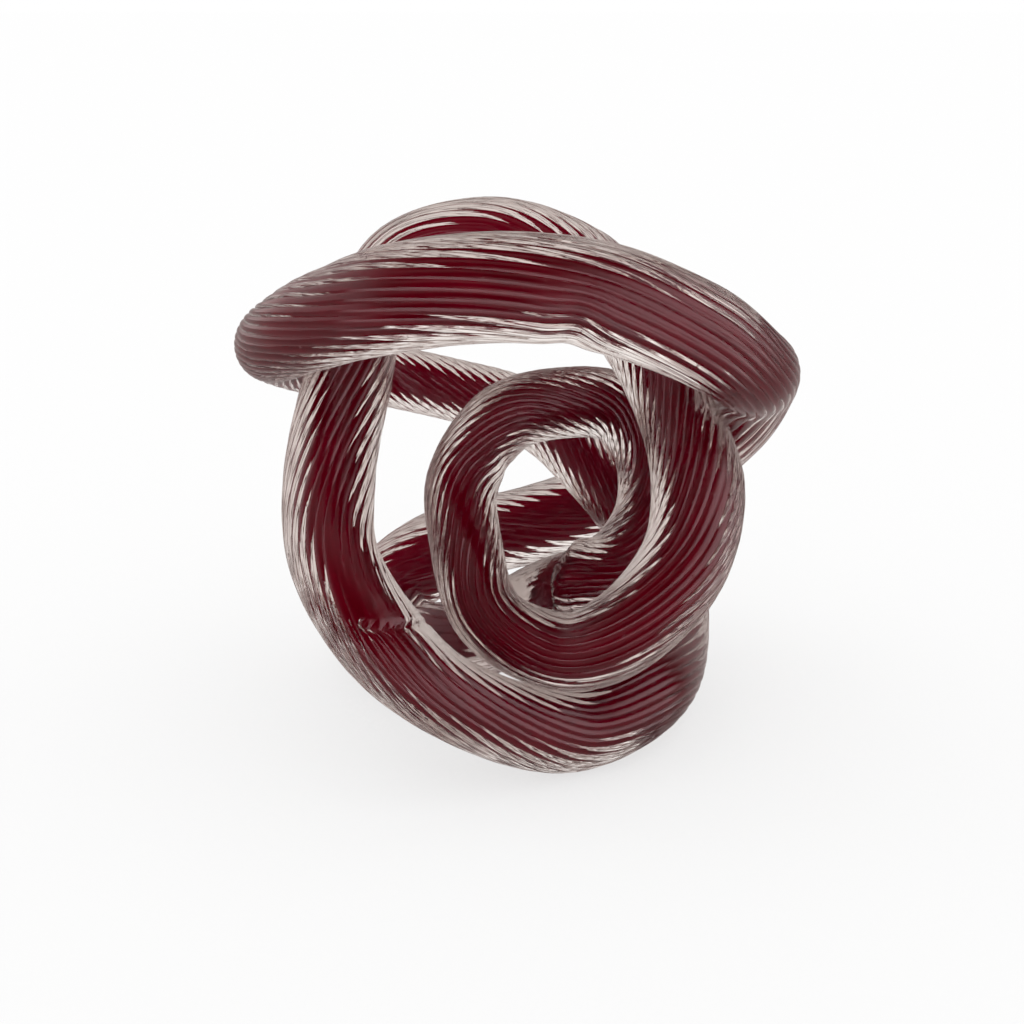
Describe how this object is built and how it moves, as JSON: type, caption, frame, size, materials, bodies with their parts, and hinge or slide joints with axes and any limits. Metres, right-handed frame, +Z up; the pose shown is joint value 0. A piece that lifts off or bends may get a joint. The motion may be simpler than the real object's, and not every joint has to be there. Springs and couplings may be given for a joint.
{
  "type": "glass knot paperweight",
  "caption": "Open knot wound from one thick reeded rod of clear glass with a dark red core, its two ends fused into a closed loop; rests on three small flats.",
  "frame": {"origin": "on the surface that the knot rests on, under the middle of its box", "axes": "+Z up; +X to the right and +Y away from the viewer when the ring faces the viewer"},
  "size_m": [0.1458, 0.124, 0.134],
  "materials": {
    "clear_glass": "clear, glossy, fire-polished, with fine round ribs that turn round the rod",
    "red_glass": "opaque dark burgundy glass, glossy"
  },
  "bodies": {
    "root": {"ribbed_casing": "clear_glass", "burgundy_core": "red_glass"}
  },
  "joints": []
}
